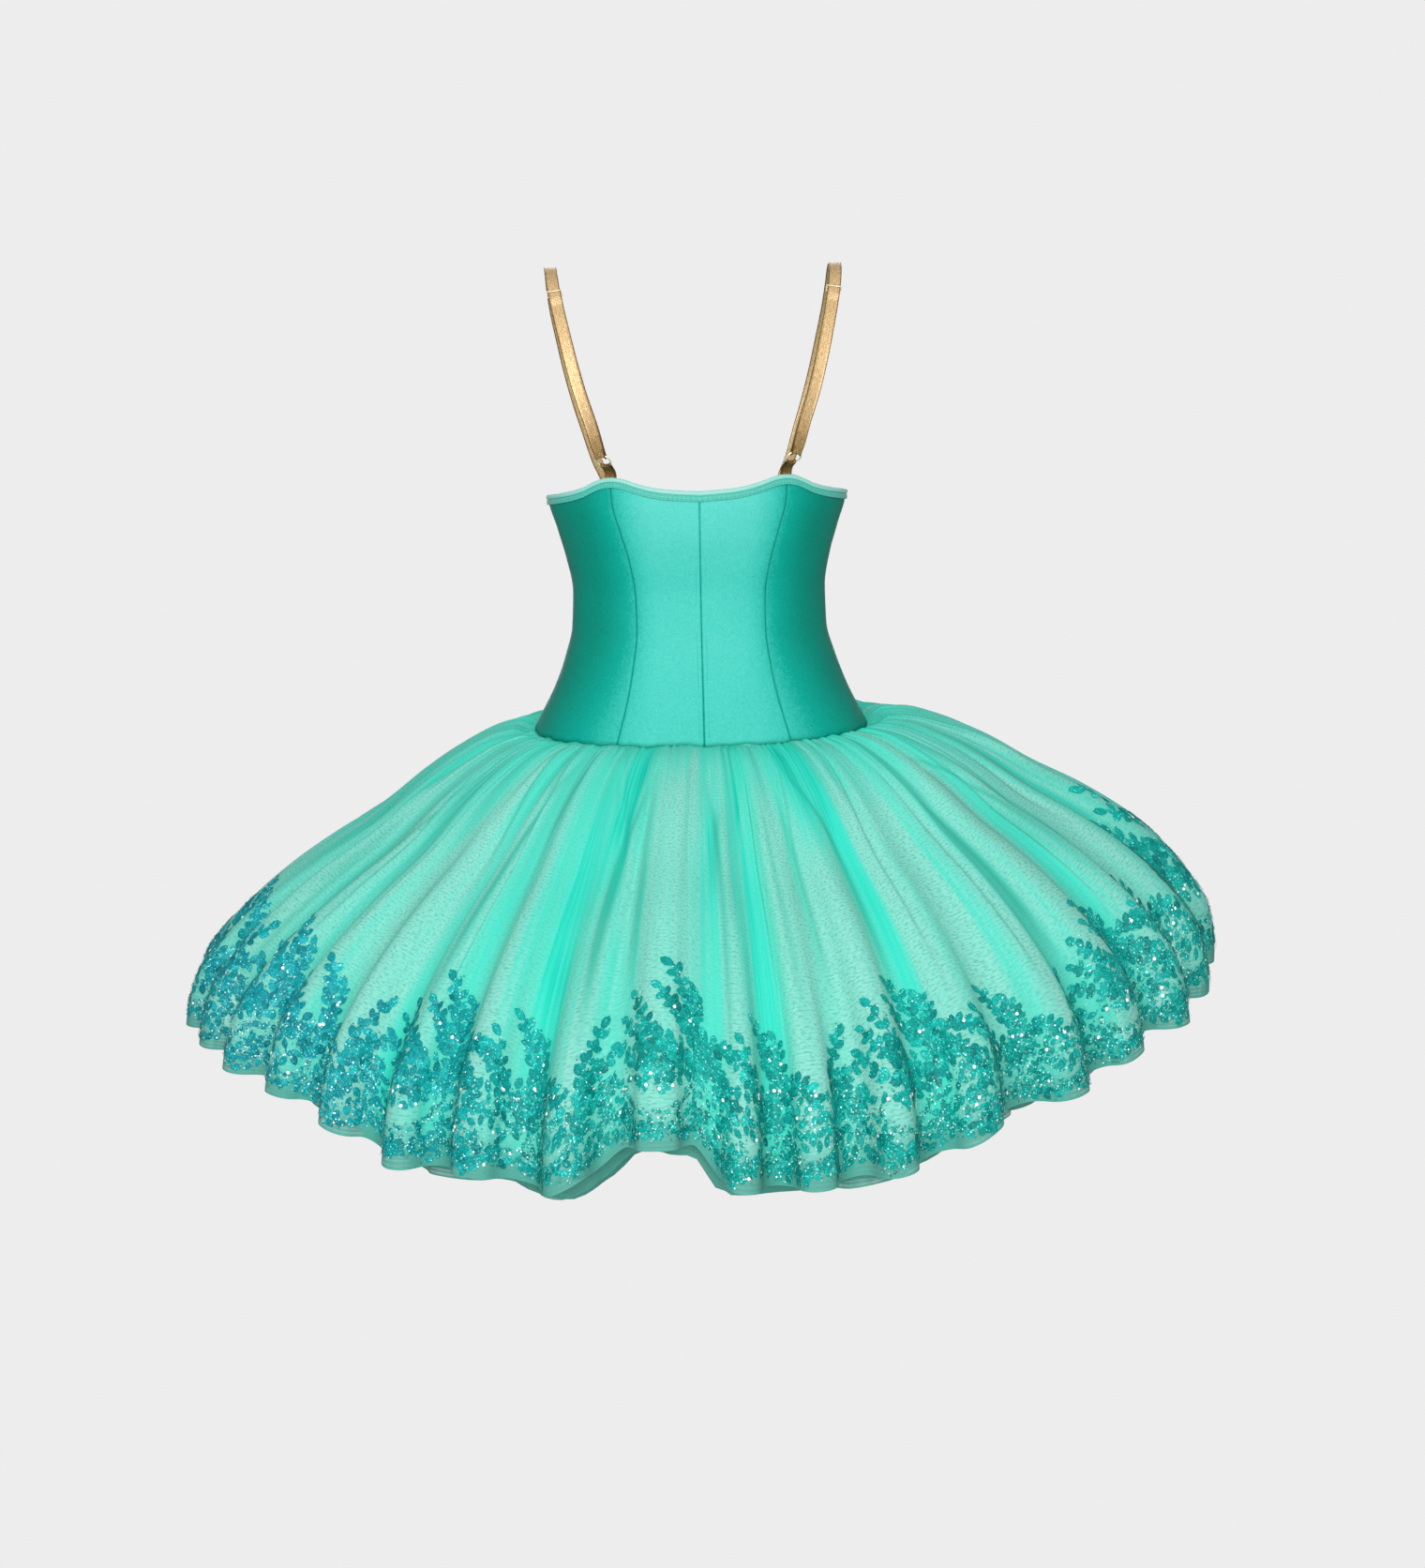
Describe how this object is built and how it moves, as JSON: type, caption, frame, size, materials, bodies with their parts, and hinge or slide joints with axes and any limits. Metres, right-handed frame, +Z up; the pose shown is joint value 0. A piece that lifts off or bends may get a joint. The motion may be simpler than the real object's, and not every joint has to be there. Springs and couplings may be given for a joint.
{
  "type": "ballet tutu",
  "caption": "Ballet tutu in its worn shape: a hollow princess-seamed camisole bodice, gold elastic straps with rings and sliders, and a wide gathered tulle skirt in layers.",
  "frame": {"origin": "midway between the two straps, level with their undersides on top of the shoulders", "axes": "+Z up, +Y towards the wearer's front, +X towards the wearer's right"},
  "size_m": [1.0552, 0.9822, 0.8206],
  "materials": {
    "bodice_cloth": "teal stretch satin, soft sheen",
    "binding_cloth": "pale teal stretch binding, rolled and stitched",
    "strap_elastic": "shiny gold woven elastic with ribbed edges",
    "gold_metal": "polished pale gold plating",
    "overlay_tulle": "soft pale teal tulle with a sequinned lace border",
    "middle_tulle": "soft teal tulle",
    "bottom_tulle": "soft pale teal tulle"
  },
  "bodies": {
    "root": {"bodice_back_centre_right": "bodice_cloth", "bodice_back_centre_left": "bodice_cloth", "bodice_back_side_right": "bodice_cloth", "bodice_back_side_left": "bodice_cloth", "bodice_front": "bodice_cloth", "top_binding": "binding_cloth", "strap_right": "strap_elastic", "strap_left": "strap_elastic", "strap_tab_right": "strap_elastic", "strap_tab_left": "strap_elastic", "strap_ring_right": "gold_metal", "strap_ring_left": "gold_metal", "strap_slider_right": "gold_metal", "strap_slider_left": "gold_metal", "skirt_overlay": "overlay_tulle", "skirt_middle": "middle_tulle", "skirt_bottom": "bottom_tulle"}
  },
  "joints": []
}
